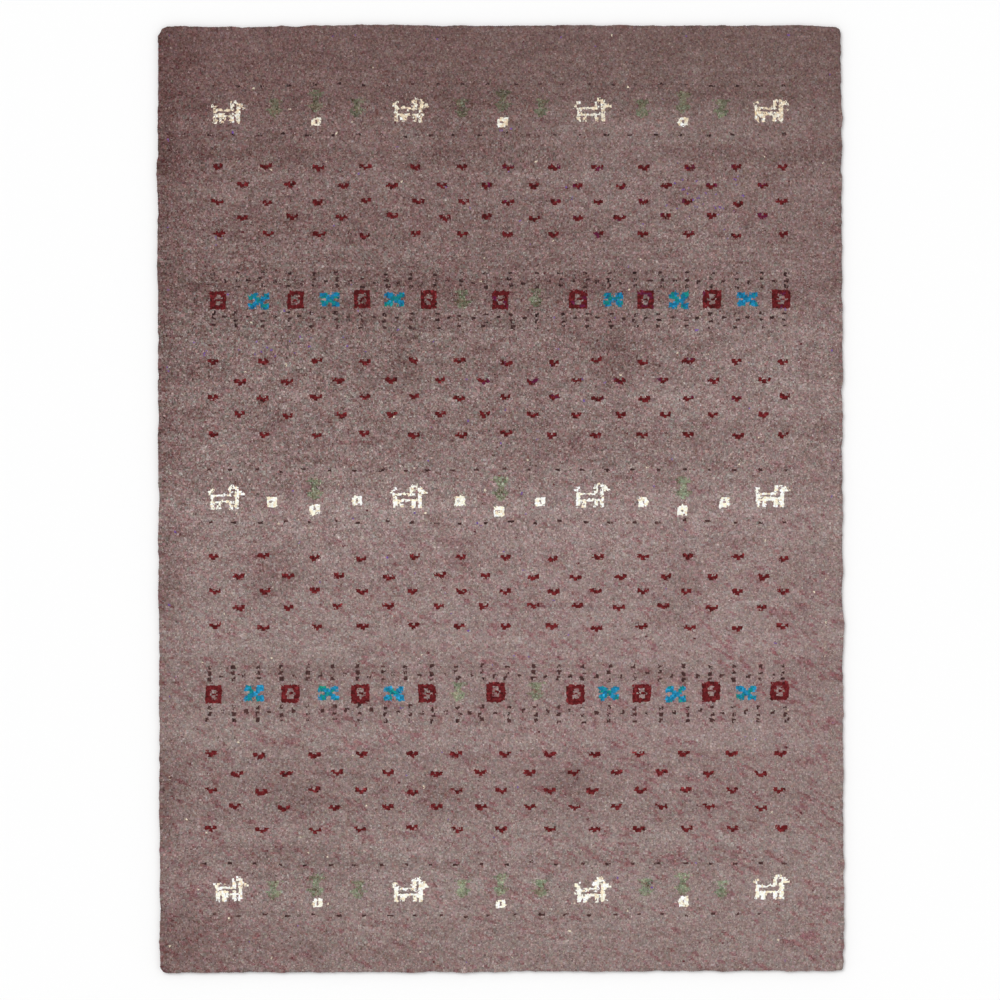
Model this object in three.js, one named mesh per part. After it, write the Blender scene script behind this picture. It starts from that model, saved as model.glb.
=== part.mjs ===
// Hand-knotted wool rug with a cut pile, lying flat on its back.
// Millimetres. X runs across the rug, Y along it and Z up out of the pile. The back lies on Z = 0.

import * as THREE from 'three';

// Overall size
const RUG_WIDTH = 1448;
const RUG_LENGTH = 2000;
const RUG_THICKNESS = 12;

// The woven foundation under the pile, set back because the pile overhangs it
const FOUNDATION_THICKNESS = 2.8;
const FOUNDATION_INSET = 6;

// The brushed edge of the pile: where it is widest, where it turns in, and where its level top begins
const PILE_WIDEST_LOW = 5.2;
const PILE_WIDEST_HIGH = 8.4;
const PILE_SHOULDER_HEIGHT = 10.8;
const PILE_SHOULDER_INSET = 3.2;
const PILE_TOP_INSET = 9;

// Corner radii of the outline: each corner of the rug is worn a little differently
const CORNER_TOP_LEFT = 14;
const CORNER_TOP_RIGHT = 10;
const CORNER_BOTTOM_LEFT = 11;
const CORNER_BOTTOM_RIGHT = 6;

// How far each side draws in from the overall rectangle, at stations along it
const LEFT_DRAW_IN = [
  { at: -1000, inset: 6.1 },
  { at: -400, inset: 3.6 },
  { at: 0, inset: 2.6 },
  { at: 250, inset: 1.5 },
  { at: 630, inset: 0 },
  { at: 1000, inset: 1.9 },
];
const RIGHT_DRAW_IN = [
  { at: -1000, inset: 0 },
  { at: -400, inset: 1.6 },
  { at: 0, inset: 3 },
  { at: 600, inset: 4 },
  { at: 1000, inset: 6.1 },
];
const BOTTOM_DRAW_IN = [
  { at: -724, inset: 0 },
  { at: 0, inset: 2.5 },
  { at: 724, inset: 4.6 },
];
const TOP_DRAW_IN = [
  { at: -724, inset: 2.3 },
  { at: -600, inset: 5.4 },
  { at: -480, inset: 4.2 },
  { at: -330, inset: 1 },
  { at: -264, inset: 0 },
  { at: 0, inset: 2.1 },
  { at: 660, inset: 1.5 },
  { at: 724, inset: 5 },
];

// Small scallops left by the tufts along the edge
const SCALLOPS = [
  { wavelength: 24, amplitude: 0.42 },
  { wavelength: 39, amplitude: 0.34 },
  { wavelength: 71, amplitude: 0.3 },
];

// Low swells of the pile's top where it is brushed down
const SWELLS = [
  { across: 610, along: 470, depth: 0.3 },
  { across: 260, along: 330, depth: 0.25 },
  { across: 150, along: 190, depth: 0.2 },
];

// Mesh density
const STEPS_ACROSS = 128;
const STEPS_ALONG = 178;
const STEPS_CORNER = 5;
const FIELD_ACROSS = 26;
const FIELD_ALONG = 36;
const FIELD_INSET = 40;

const HALF_WIDTH = RUG_WIDTH / 2;
const HALF_LENGTH = RUG_LENGTH / 2;

// A smooth curve through one side's draw-in, read by position along the side
function drawInReader(stations) {
  const curve = new THREE.SplineCurve(stations.map(({ at, inset }) => new THREE.Vector2(at, inset)));
  const fine = curve.getPoints(stations.length * 24);
  return (at) => {
    let k = 1;
    while (k < fine.length - 1 && fine[k].x < at) k += 1;
    const low = fine[k - 1];
    const high = fine[k];
    const share = THREE.MathUtils.clamp((at - low.x) / (high.x - low.x), 0, 1);
    return Math.max(THREE.MathUtils.lerp(low.y, high.y, share), 0);
  };
}

const leftDrawIn = drawInReader(LEFT_DRAW_IN);
const rightDrawIn = drawInReader(RIGHT_DRAW_IN);
const bottomDrawIn = drawInReader(BOTTOM_DRAW_IN);
const topDrawIn = drawInReader(TOP_DRAW_IN);

// Scallop depth along a side, fading out towards both of its ends
function scallop(at, side, share) {
  let depth = 0;
  for (const { wavelength, amplitude } of SCALLOPS) {
    depth += amplitude * (1 + Math.sin((2 * Math.PI * at) / wavelength + side * 1.7 + wavelength));
  }
  return depth * Math.min(1, 12 * share, 12 * (1 - share));
}

// Height of the pile's top at a place on the rug: a little lower in each swell's trough
function pileTop(x, y) {
  let fall = 0;
  for (const { across, along, depth } of SWELLS) {
    const phase = (2 * Math.PI * x) / across + Math.sin((2 * Math.PI * y) / along);
    fall += depth * (0.5 + 0.5 * Math.sin(phase + (2 * Math.PI * y) / (along * 1.6)));
  }
  return RUG_THICKNESS - fall;
}

// One closed loop round the rug, set in from the outline, counter-clockwise from the bottom left corner
function edgeLoop(inset, rough) {
  const left = (y) => -HALF_WIDTH + leftDrawIn(y) + inset;
  const right = (y) => HALF_WIDTH - rightDrawIn(y) - inset;
  const bottom = (x) => -HALF_LENGTH + bottomDrawIn(x) + inset;
  const top = (x) => HALF_LENGTH - topDrawIn(x) - inset;

  // Each corner: where its two sides meet, its radius, and the quarter turn at which its arc starts
  const corners = [
    { x: left(-HALF_LENGTH), y: bottom(-HALF_WIDTH), sx: -1, sy: -1, r: CORNER_BOTTOM_LEFT, turn: 2 },
    { x: right(-HALF_LENGTH), y: bottom(HALF_WIDTH), sx: 1, sy: -1, r: CORNER_BOTTOM_RIGHT, turn: 3 },
    { x: right(HALF_LENGTH), y: top(HALF_WIDTH), sx: 1, sy: 1, r: CORNER_TOP_RIGHT, turn: 0 },
    { x: left(HALF_LENGTH), y: top(-HALF_WIDTH), sx: -1, sy: 1, r: CORNER_TOP_LEFT, turn: 1 },
  ];
  const sides = [
    { steps: STEPS_ACROSS, alongX: true, edge: bottom, outward: -1 },
    { steps: STEPS_ALONG, alongX: false, edge: right, outward: 1 },
    { steps: STEPS_ACROSS, alongX: true, edge: top, outward: 1 },
    { steps: STEPS_ALONG, alongX: false, edge: left, outward: -1 },
  ];

  const loop = [];
  corners.forEach((corner, k) => {
    // Arc of this corner
    const radius = corner.r + 0.6 * inset;
    const arc = new THREE.EllipseCurve(
      corner.x - corner.sx * radius,
      corner.y - corner.sy * radius,
      radius,
      radius,
      (corner.turn * Math.PI) / 2,
      ((corner.turn + 1) * Math.PI) / 2,
    );
    loop.push(...arc.getPoints(STEPS_CORNER));

    // Side from this corner to the next
    const next = corners[(k + 1) % 4];
    const nextRadius = next.r + 0.6 * inset;
    const side = sides[k];
    const start = side.alongX ? corner.x - corner.sx * radius : corner.y - corner.sy * radius;
    const end = side.alongX ? next.x - next.sx * nextRadius : next.y - next.sy * nextRadius;
    for (let i = 1; i < side.steps; i += 1) {
      const share = i / side.steps;
      const at = THREE.MathUtils.lerp(start, end, share);
      const across = side.edge(at) - side.outward * rough * scallop(at, k, share);
      loop.push(side.alongX ? new THREE.Vector2(at, across) : new THREE.Vector2(across, at));
    }
  });
  return loop;
}

// Cross-section of the edge, from the back up to the level top. The scallops are strongest where it is widest.
const SECTION = [
  { inset: FOUNDATION_INSET, rough: 0.2, height: () => 0 },
  { inset: FOUNDATION_INSET - 0.6, rough: 0.3, height: () => FOUNDATION_THICKNESS },
  { inset: 0.3, rough: 1, height: () => PILE_WIDEST_LOW },
  { inset: 0, rough: 1, height: () => PILE_WIDEST_HIGH },
  { inset: PILE_SHOULDER_INSET, rough: 0.8, height: () => PILE_SHOULDER_HEIGHT },
  { inset: PILE_TOP_INSET, rough: 0.4, height: pileTop },
];

// The whole rug as one closed skin: flat back, brushed edge and level pile
function rugGeometry() {
  const positions = [];
  const faces = [];
  const addPoint = (x, y, z) => {
    positions.push(x, y, z);
    return positions.length / 3 - 1;
  };

  // Rings of the edge, each joined to the one above it
  const rings = SECTION.map(({ inset, rough, height }) => {
    const loop = edgeLoop(inset, rough);
    return { loop, ids: loop.map((p) => addPoint(p.x, p.y, height(p.x, p.y))) };
  });
  for (let r = 1; r < rings.length; r += 1) {
    const low = rings[r - 1].ids;
    const high = rings[r].ids;
    for (let i = 0; i < low.length; i += 1) {
      const j = (i + 1) % low.length;
      faces.push(low[i], low[j], high[j], low[i], high[j], high[i]);
    }
  }

  // Flat back
  const back = rings[0];
  for (const [a, b, c] of THREE.ShapeUtils.triangulateShape(back.loop, [])) {
    faces.push(back.ids[c], back.ids[b], back.ids[a]);
  }

  // Pile field inside the edge: a coarse grid that follows the low swells
  const fieldX = (i) => (2 * i / FIELD_ACROSS - 1) * (HALF_WIDTH - FIELD_INSET);
  const fieldY = (j) => (2 * j / FIELD_ALONG - 1) * (HALF_LENGTH - FIELD_INSET);
  const field = [];
  for (let j = 0; j <= FIELD_ALONG; j += 1) {
    const row = [];
    for (let i = 0; i <= FIELD_ACROSS; i += 1) {
      row.push(addPoint(fieldX(i), fieldY(j), pileTop(fieldX(i), fieldY(j))));
    }
    field.push(row);
  }
  for (let j = 0; j < FIELD_ALONG; j += 1) {
    for (let i = 0; i < FIELD_ACROSS; i += 1) {
      const [a, b, c, d] = [field[j][i], field[j][i + 1], field[j + 1][i + 1], field[j + 1][i]];
      faces.push(a, b, c, a, c, d);
    }
  }

  // Border between the top ring and the field
  const rim = [];
  for (let i = 0; i < FIELD_ACROSS; i += 1) rim.push(field[0][i]);
  for (let j = 0; j < FIELD_ALONG; j += 1) rim.push(field[j][FIELD_ACROSS]);
  for (let i = FIELD_ACROSS; i > 0; i -= 1) rim.push(field[FIELD_ALONG][i]);
  for (let j = FIELD_ALONG; j > 0; j -= 1) rim.push(field[j][0]);
  const hole = rim.map((id) => new THREE.Vector2(positions[3 * id], positions[3 * id + 1])).reverse();
  const outer = rings[rings.length - 1];
  const borderIds = [...outer.ids, ...rim.slice().reverse()];
  for (const [a, b, c] of THREE.ShapeUtils.triangulateShape(outer.loop, [hole])) {
    faces.push(borderIds[a], borderIds[b], borderIds[c]);
  }

  const geometry = new THREE.BufferGeometry();
  geometry.setAttribute('position', new THREE.Float32BufferAttribute(positions, 3));
  geometry.setIndex(faces);

  // Centre the outline on the origin
  geometry.computeBoundingBox();
  const { min, max } = geometry.boundingBox;
  geometry.translate(-(min.x + max.x) / 2, -(min.y + max.y) / 2, -min.z);
  geometry.computeVertexNormals();
  return geometry;
}

// Heathered mauve-brown wool
const pileWool = new THREE.MeshStandardMaterial({ color: '#86716d', roughness: 0.96, metalness: 0 });

const rug = new THREE.Mesh(rugGeometry(), pileWool);
rug.name = 'rug';

const group = new THREE.Group();
group.name = 'hand_knotted_rug';
group.add(rug);

export default group;
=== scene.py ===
import math
from collections import namedtuple

import bpy
import numpy as np
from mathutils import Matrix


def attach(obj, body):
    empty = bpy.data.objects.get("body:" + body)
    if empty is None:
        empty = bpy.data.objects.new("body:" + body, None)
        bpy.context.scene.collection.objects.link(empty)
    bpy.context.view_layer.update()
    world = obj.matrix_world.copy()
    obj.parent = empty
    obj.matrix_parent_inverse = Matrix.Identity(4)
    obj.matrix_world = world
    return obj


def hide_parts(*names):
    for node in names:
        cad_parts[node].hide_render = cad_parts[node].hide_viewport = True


# Hand-knotted wool rug, laid flat. Metres: X across, Y along and Z up out of the pile.

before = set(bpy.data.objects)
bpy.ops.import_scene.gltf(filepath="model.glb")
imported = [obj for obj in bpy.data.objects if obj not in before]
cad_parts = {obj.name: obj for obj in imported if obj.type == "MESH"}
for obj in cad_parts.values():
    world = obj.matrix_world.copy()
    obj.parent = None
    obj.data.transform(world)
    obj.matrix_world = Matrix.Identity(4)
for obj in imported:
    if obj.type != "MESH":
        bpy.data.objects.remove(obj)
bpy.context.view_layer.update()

# Overall size
WIDTH = 1.448
LENGTH = 2.000
PILE_TOP = 0.0118
FOUNDATION_TOP = 0.0028

# One knot every 4.3 mm both ways
COLUMNS = 336
ROWS = 465
PITCH = LENGTH / ROWS

# The knot grid starts this far inside the outline. Outside it the edge tufts lean over the side.
GRID_INSET = 0.0036
FOUNDATION_INSET = 0.0056

# How far each side draws in from the overall rectangle: positions along it, then amounts, in millimetres
MM_PER_METRE = 1000
SIDES = {
    "left": {"at": (-1000, -400, 0, 250, 630, 1000), "inset": (6.1, 3.6, 2.6, 1.5, 0, 1.9)},
    "right": {"at": (-1000, -400, 0, 600, 1000), "inset": (0, 1.6, 3, 4, 6.1)},
    "bottom": {"at": (-724, 0, 724), "inset": (0, 2.5, 4.6)},
    "top": {"at": (-724, -600, -480, -330, -264, 0, 660, 724), "inset": (2.3, 5.4, 4.2, 1, 0, 2.1, 1.5, 5)},
}

# Plain sides of the overall rectangle, and the radius of each worn corner
HALF_SIZE = {"left": -WIDTH / 2, "right": WIDTH / 2, "bottom": -LENGTH / 2, "top": LENGTH / 2}
CORNER_RADIUS = {
    ("top", "left"): 0.024,
    ("top", "right"): 0.012,
    ("bottom", "left"): 0.011,
    ("bottom", "right"): 0.004,
}

# Where the photograph shows the rug: its middle in pixels, and its scale
PHOTO_MIDDLE_ACROSS = 500.55
PHOTO_MIDDLE_DOWN = 498.75
PIXEL = 0.0021055
PHOTO_SIZE = 1000

# Slanted fibres run so many knots to the right for so many down
SLANT_RIGHT = 3
SLANT_DOWN = 2


# Outline and knot grid

def read_off(table, column, at):
    """Values of a table's column at places between its stations."""
    return np.interp(at, table["at"], table[column])


def edge(name, at, inset):
    """Where a side lies, set in from the outline: x of the left and right, y of the top and bottom."""
    draw_in = read_off(SIDES[name], "inset", np.asarray(at) * MM_PER_METRE) / MM_PER_METRE
    outward = np.sign(HALF_SIZE[name])
    return HALF_SIZE[name] - outward * draw_in - outward * inset


def grid(rows, columns, inset):
    """Points of a grid laid over the rug, row 0 along the top end, rounded at the outline's corners."""
    down = np.linspace(0, 1, rows + 1)[:, None]
    over = np.linspace(0, 1, columns + 1)[None, :]
    plain_x = (over - 0.5) * WIDTH + 0 * down
    plain_y = (0.5 - down) * LENGTH + 0 * over
    x = edge("left", plain_y, inset) * (1 - over) + edge("right", plain_y, inset) * over
    y = edge("top", plain_x, inset) * (1 - down) + edge("bottom", plain_x, inset) * down
    for (end, side), radius in CORNER_RADIUS.items():
        out_x = np.sign(HALF_SIZE[side])
        out_y = np.sign(HALF_SIZE[end])
        corner_x = edge(side, plain_y, inset)
        corner_y = edge(end, plain_x, inset)
        share_x = 1 - out_x * (corner_x - x) / radius
        share_y = 1 - out_y * (corner_y - y) / radius
        near = (share_x > 0) & (share_y > 0)
        share_x = np.where(near, share_x, 0)
        share_y = np.where(near, share_y, 0)
        round_x = corner_x - out_x * radius * (1 - share_x * np.sqrt(1 - share_y * share_y / 2))
        round_y = corner_y - out_y * radius * (1 - share_y * np.sqrt(1 - share_x * share_x / 2))
        x = np.where(near, round_x, x)
        y = np.where(near, round_y, y)
    return x, y


def knot_at(across, down):
    """Column and row of the knot grid under a pixel of the photograph."""
    x = (across - PHOTO_MIDDLE_ACROSS) * PIXEL
    y = (PHOTO_MIDDLE_DOWN - down) * PIXEL
    left = edge("left", y, GRID_INSET)
    right = edge("right", y, GRID_INSET)
    top = edge("top", x, GRID_INSET)
    bottom = edge("bottom", x, GRID_INSET)
    return (x - left) / (right - left) * COLUMNS, (y - top) / (bottom - top) * ROWS


def knot_places():
    """Pixels across and down the photograph over the middle of each knot."""
    x, y = grid(ROWS, COLUMNS, GRID_INSET)
    middle_x = (x[1:, 1:] + x[:-1, :-1]) / 2
    middle_y = (y[1:, 1:] + y[:-1, :-1]) / 2
    return middle_x / PIXEL + PHOTO_MIDDLE_ACROSS, PHOTO_MIDDLE_DOWN - middle_y / PIXEL


# Seeded noise

Noise = namedtuple("Noise", "seed high wide strength")


def ease(share):
    return share * share * (3 - 2 * share)


def soft_noise(seed, rows, columns, high, wide):
    """Smooth random field with mean 0 and spread 1, in blotches about so many knots high and wide."""
    rng = np.random.default_rng(seed)
    coarse = rng.normal(size=(int(rows / high) + 3, int(columns / wide) + 3))
    down = np.arange(rows) / high + rng.random()
    over = np.arange(columns) / wide + rng.random()
    row = down.astype(int)
    column = over.astype(int)
    down_share = ease(down - row)[:, None]
    over_share = ease(over - column)[None, :]
    upper = coarse[row][:, column] * (1 - over_share) + coarse[row][:, column + 1] * over_share
    lower = coarse[row + 1][:, column] * (1 - over_share) + coarse[row + 1][:, column + 1] * over_share
    field = upper * (1 - down_share) + lower * down_share
    return (field - field.mean()) / field.std()


def layered_noise(layers, rows, columns, start=0):
    """Sum of soft noises, one for each layer."""
    total = start
    for layer in layers:
        total = total + layer.strength * soft_noise(layer.seed, rows, columns, layer.high, layer.wide)
    return total


def slanted(field):
    """The field drawn aslant, down to the right."""
    rows, columns = field.shape
    shift = SLANT_RIGHT * np.arange(rows)[:, None] // SLANT_DOWN
    source = (np.arange(columns)[None, :] - shift) % columns
    return np.take_along_axis(field, source, axis=1)


def clipped_normal(rng, spread, limit, shape):
    return np.clip(rng.normal(0, spread, shape), -limit, limit)


# Charts of the figures, one mark a knot. A small letter marks a knot that is half lost among the ground.

GOATS = {
    "upright": """
        ............xx....
        ..........XxXXx...
        ..........XX.XXx..
        .XxXx.....XX.xXXX.
        .xX.......XX.XX.xX
        ..XXXXXXXXXX.XX...
        ..XX.........XX...
        ..XxXXXX..xX.XX...
        ..XXXXXXxXXXXXX...
        ..XX.XXx..XX.XX...
        ..XX.XX...XX.XX...
        ..xX.xX...xX.Xx...
    """.split(),
    "broad": """
        ...........xXx....
        ..........XXxXx...
        .xX......xXX.XXx..
        Xx.......xXX.XXXX.
        xXx.......XX.XXXXx
        .XXxXXXXXXXX.XXx..
        .XX....x..xx.XX...
        .XX..........XX...
        .XXXXXXXXXXXXXXx..
        .XXxXXXx..xXXXX...
        .XX.XXx...xX.XX...
        .XX.xX....XX.XX...
    """.split(),
    "peaked": """
        ...........XXx....
        ..........xX.XXx..
        .xX......xXX..XXx.
        Xx........XX.xXXXX
        .x........XX.XX...
        .XXXXXXXXXXx.XX...
        .XX..........XX...
        .XX..........xX...
        .XXXXXXXXXXXXXX...
        .XXxXXx...XX.XX...
        .XX.XX....XX.XX...
        .Xx.XX....Xx.XX...
    """.split(),
    "slim": """
        ............x.....
        ..........XXXx....
        .xX......XX.xXX...
        xX.x.....XXx.XXXx.
        X........XX..xXXXX
        .XXXXXXXXXXx.XXx..
        .Xx..........XX...
        .XX..........XX...
        .XXXXXXXXXXXXXX...
        .XXxXx....xX.XX...
        .XX.XX....XX.XX...
        .Xx.Xx....XX.XX...
    """.split(),
    "thin": """
        ...........xx.....
        ..........xXXXx...
        .xX......xXx.XX...
        xX........Xx.xXXx.
        X.........Xx.XXXXX
        .XXXXXXXXXX..XX...
        .Xx..........Xx...
        .Xx..........XX...
        .XXXXXXXXXXXxXX...
        .Xx.xX....X..XX...
        .XX.Xx....XX.Xx...
        .xX.xX....xX.XX...
    """.split(),
    "stout": """
        ...........XXx....
        ..........XXXXx...
        .xX......XXXx.Xx..
        Xx.......XXXxXXXX.
        XXx......xXX.XXXXX
        .XXxXXXXXXXx.XXx..
        .XXXxxx..xx..XX...
        xXX..........XX...
        .XXx.XXXXXXXXXX...
        .XXXXXXX..XXxXX...
        .XX.XXx...xX.XX...
        .XX.xX....xX.XXx..
    """.split(),
    "curled": """
        ..........xXXXx...
        .xX.......XX.xXXx.
        Xx........XX.XXXXx
        .Xx......xXx.XX...
        .XXXXXXXXXx..XX...
        .XX..........XX...
        .XXxxXXXXXXXXXX...
        .XXXXXXXXXXXXXX...
        .XXxXX...xXXxXX...
        .xX.XX....XX.XX...
        ..X.Xx....Xx.XX...
    """.split(),
}

# Red squares round an open middle with a red spot in it, and blue crosses
SQUARES = tuple(rows.split() for rows in (
    "xXXXXXXx XXXXXXXX XXx..XXX XX....XX XXXXXxXX XXx..xXX XXX..XXX XXXXXXXX XXXXXXXX",
    "xXXXXXXX XXXXXXXX XXx..xXX XX...XXX XX.XX.XX XXxXx.XX XXx..xXX XXXXXXXX XXXXXXXX",
    "xXXXXXXX XXXXXXXX XXX..XXX XXx..xXX XX.XXxXX XXx..XXX XXX..xXX XXXXXXXX XXXXXXXX",
    "xXXXXXXXx XXXXXXXXX XXX..xXXX XXX...XXX XXx.XXxXX XXXx..XXX XXX...XXX XXXXXXXXX XXXXXXXXx",
    "xXXXXXXXx XXXXXXXXX XXXx..XXX XXX...XXX XXXxXX.XX XXX...xXX XXXx..XXX XXXXXXXXX XXXXXXXXX xXXXXXXx.",
))
CROSSES = tuple(rows.split() for rows in (
    ".XXXx..XXX XXXX..XXXX XXXXX.XXXX ...XXXXX.. ..XXXXX... XXXXX.XXXX XXXX..XXXX xXXx..xXXx",
    "XXXX..xXXX XXXXX.XXXX xXXXXXXXXx ...XXXX... xXXXXXXXx. XXXX..XXXX xXXX..XXXX",
    "xXXX...XXX XXXXX.XXXX xXXXXXXXXx ...XXXXx.. .XXXxXXXXX XXXX..XXXX XXXx..xXXX",
    "xXXX..xXXx XXXXx.XXXX xXXXXXXXXx ..XXXXXx.. XXXXxxXXXX XXXX..XXXX .XXx...XXx",
))

# Red hearts, and wider ones for the lowest field
HEARTS = (
    ("XX.xX", "XXXXX", ".XXx."),
    ("XXx.xX", "XXXXXX", "..XX.."),
    ("XX.XX", "XXXXX", ".xXx."),
    ("xXx.XX", "XXXXXX", "..XXx."),
    ("XX.XX", "XXXXX", ".XX.."),
)
WIDE_HEARTS = (
    ("XX..XX", "XXXXXx", "..XX.."),
    ("XXX.XX", "XXXXXX", ".xXX.."),
    ("xX.XXX", "XXXXXX", "..XXx."),
    ("XX..xX", ".XXXXX", "..XX.."),
    ("XX.xXX", "XXXXXX", ".XXX.."),
)

# Green plants
TALL_PLANT = """
    .xxGGGxx.
    xGGGGGGGx
    .xGGGGGx.
    ..xGGGx..
    ...GGG...
    ...GGG...
    ..xGGGx..
    xGGGGGGGx
    .GGGGGGG.
    ..GGGGG..
    ...GGx...
""".split()
SHORT_PLANT = """
    xxGGGGGxx
    .xGGGGGx.
    ..xGGGx..
    ...GGG...
    ..xGGGx..
    xGGGGGGGx
    .xGGGGGx.
    ..GGGGG..
    ...GGx...
""".split()

# Small ivory squares
SMALL_SQUARES = (
    ("xXXXx", "XXXXX", "XX.XX", "XXxXX", "xXXXx"),
    ("xXXXX", "XXXXX", "X.xXX", "XXXXX", "XXXXx"),
    (".XXXX", "XXxXX", "XX.XX", "XXXXX", "XXXxX"),
    ("xXXXX", "XX.XX", "XX.XX", "XXXXx"),
)

# Dark dots of the dotted lines and of the fences, and how much of their knots the fence dots fill
LINE_DOTS = (("XX",), ("XX",), ("XXx",))
SMALL_DOTS = (("XX",), ("XX",), ("XXx",), ("XX", "x."), (".x", "XX"), ("Xx", "Xx"))
BROAD_DOTS = (("XX", "XX"), ("XX",), ("XX", "X."), (".X", "XX"), ("XX", "XX"))
DOT_FILLS = (1, 1, 1, 0.8, 0.6)

# Places of the figures, in pixels across and down the photograph, and how much of its knots each one fills
Goat = namedtuple("Goat", "across down shape fill")
GOAT_PLACES = (
    Goat(227.3, 111.4, "upright", 0.82),
    Goat(411.0, 109.0, "broad", 0.82),
    Goat(592.5, 110.4, "thin", 0.92),
    Goat(771.9, 110.4, "curled", 0.87),
    Goat(226.8, 496.8, "thin", 0.92),
    Goat(410.0, 496.4, "slim", 0.93),
    Goat(591.8, 495.8, "peaked", 0.9),
    Goat(771.3, 496.2, "curled", 0.97),
    Goat(229.8, 888.4, "upright", 0.97),
    Goat(411.0, 890.8, "broad", 1),
    Goat(592.6, 889.6, "stout", 1),
    Goat(770.6, 887.6, "peaked", 1),
)
PLANT_ROWS = (
    {"plant": SHORT_PLANT, "down": 108, "across": (274.5, 357.6, 461.4, 541, 641.7, 721.6)},
    {"plant": SHORT_PLANT, "down": 889, "across": (274.5, 358, 461.4, 541, 646, 722.7)},
    {"plant": TALL_PLANT, "down": 101.5, "across": (316, 502, 682.5)},
    {"plant": TALL_PLANT, "down": 488.5, "across": (314, 500.5, 683.7)},
    {"plant": TALL_PLANT, "down": 884.5, "across": (316, 500.3, 683)},
)
SMALL_SQUARE_ROWS = (
    {"down": 122.5, "across": (316, 502, 682.5)},
    {"down": 501.5, "across": (272, 357.6, 461, 541, 644, 724)},
    {"down": 510, "across": (314, 499, 683)},
    {"down": 903, "across": (317.7, 500.5, 683)},
)
Line = namedtuple("Line", "down first middle last dots fill")
DOTTED_LINES = (
    Line(85, 213, 502, 785, 24, 0.75),
    Line(135, 210, 491, 784, 24, 0.85),
    Line(470, 207, 491, 786, 24, 1),
    Line(522, 210, 498, 785, 24, 1),
    Line(864, 205, 494, 786, 24, 1),
    Line(915, 213, 491, 762, 23, 1),
)

# Fields of hearts in rows, shifted a little at either end of a row
Hearts = namedtuple("Hearts", "shapes down shift_left shift_right")
HEART_FIELDS = (
    Hearts(HEARTS, (167, 185, 202.5, 217, 235), 4, -0.5),
    Hearts(HEARTS, (361.5, 381, 398, 415, 435), 0, 0),
    Hearts(HEARTS, (557.7, 577, 592, 607, 627), -0.5, 0),
    Hearts(WIDE_HEARTS, (754.4, 773.5, 791, 807.3, 829.3), -2.5, -3),
)
HEARTS_REACH = (214, 783)
HEARTS_ODD = (214, 264, 316, 363, 414, 460, 506, 553, 597, 643, 688, 737, 783.5)
HEARTS_EVEN = (240, 288, 339, 390, 440, 484.5, 533, 577, 620, 665, 712, 763)

# Bands of squares between two fences. A square lies lower by its part of the wave.
Fence = namedtuple("Fence", "down between first middle last dots")
SQUARE_BANDS = (
    {
        "down": 299.5,
        "squares": (218.3, 295.4, 361.3, 429.4, 498.9, 577.8, 646.8, 713, 781.3),
        "square_shapes": (0, 1, 1, 2, 2, 3, 2, 3, 3),
        "wave": (2.0, 0.6, -0.8, -1.0, -0.6, 0, 0, -0.4, 0.2),
        "crosses": (257.7, 329.7, 395.3, 614.3, 679.5, 747),
        "plants": (463, 534.4),
        "dots": SMALL_DOTS,
        "fences": (
            Fence((273.4, 279.6, 286), 282, 214, 497.5, 787, 24),
            Fence((313.8, 320.6, 326.8), 317.6, 212, 499, 785, 24),
        ),
    },
    {
        "down": 693.5,
        "squares": (213.8, 291.8, 359, 426.6, 495, 574.2, 641.9, 710.8, 780),
        "square_shapes": (2, 3, 4, 3, 4, 4, 3, 4, 3),
        "wave": (0.5, 0.2, 0.8, 0.2, 0.0, 0.0, -0.3, -0.9, -2.0),
        "crosses": (253, 327.6, 393, 608.4, 675.6, 746.8),
        "plants": (459, 536.7),
        "dots": BROAD_DOTS,
        "fences": (
            Fence((666.8, 673, 679.3), 675, 208, 494.5, 785, 24),
            Fence((707.6, 714.3, 720.6), 711.7, 208, 496.5, 786, 24),
        ),
    },
)

# Kinds of wool
GROUND, RED, BLUE, GREEN, IVORY, DARK = range(6)

CHART_SEED = 11

# How much of a knot half lost marks and plants fill, and how far plants and crosses sit off their line
HALF_LOST = 0.5
PLANT_FILL = 0.92
PLANT_RISE = 1
CROSS_DROP = 0.3

# How far repeated marks stray from their places, across and down, in pixels of the photograph
STRAY = {"line dot": (0.8, 0.5), "heart": (0.7, 0.5), "fence dot": (0.5, 0.3), "dot between": (0.6, 0.6)}
POST_STRAY = 0.8


# Charting the figures

class Chart:
    """The kind of wool in each knot, and how much of the knot it fills."""

    def __init__(self, seed):
        self.rng = np.random.default_rng(seed)
        self.kind = np.zeros((ROWS, COLUMNS), np.int8)
        self.filled = np.zeros((ROWS, COLUMNS))

    def pick(self, choices):
        return choices[self.rng.integers(len(choices))]

    def stray(self, mark, across, down):
        """A place a little away from the one given."""
        spread_across, spread_down = STRAY[mark]
        return across + self.rng.normal(0, spread_across), down + self.rng.normal(0, spread_down)

    def stamp(self, figure, across, down, kind, fill=1):
        """Work a charted figure into the rug, with its middle under a pixel of the photograph."""
        column, row = knot_at(across, down)
        first_column = round(float(column) - len(figure[0]) / 2)
        first_row = round(float(row) - len(figure) / 2)
        for r, line in enumerate(figure):
            for c, mark in enumerate(line):
                if mark != ".":
                    knot = (first_row + r, first_column + c)
                    self.kind[knot] = kind
                    self.filled[knot] = fill * (HALF_LOST if mark == "x" else 1)


def dots_across(line):
    """Places of a line's or fence's dots, spread evenly from its first to its middle and on to its last."""
    share = np.linspace(0, 1, line.dots)
    return np.interp(share, (0, 0.5, 1), (line.first, line.middle, line.last))


def chart_dotted_lines(chart):
    for line in DOTTED_LINES:
        for across in dots_across(line):
            place = chart.stray("line dot", across, line.down)
            chart.stamp(chart.pick(LINE_DOTS), *place, DARK, line.fill)


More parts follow.
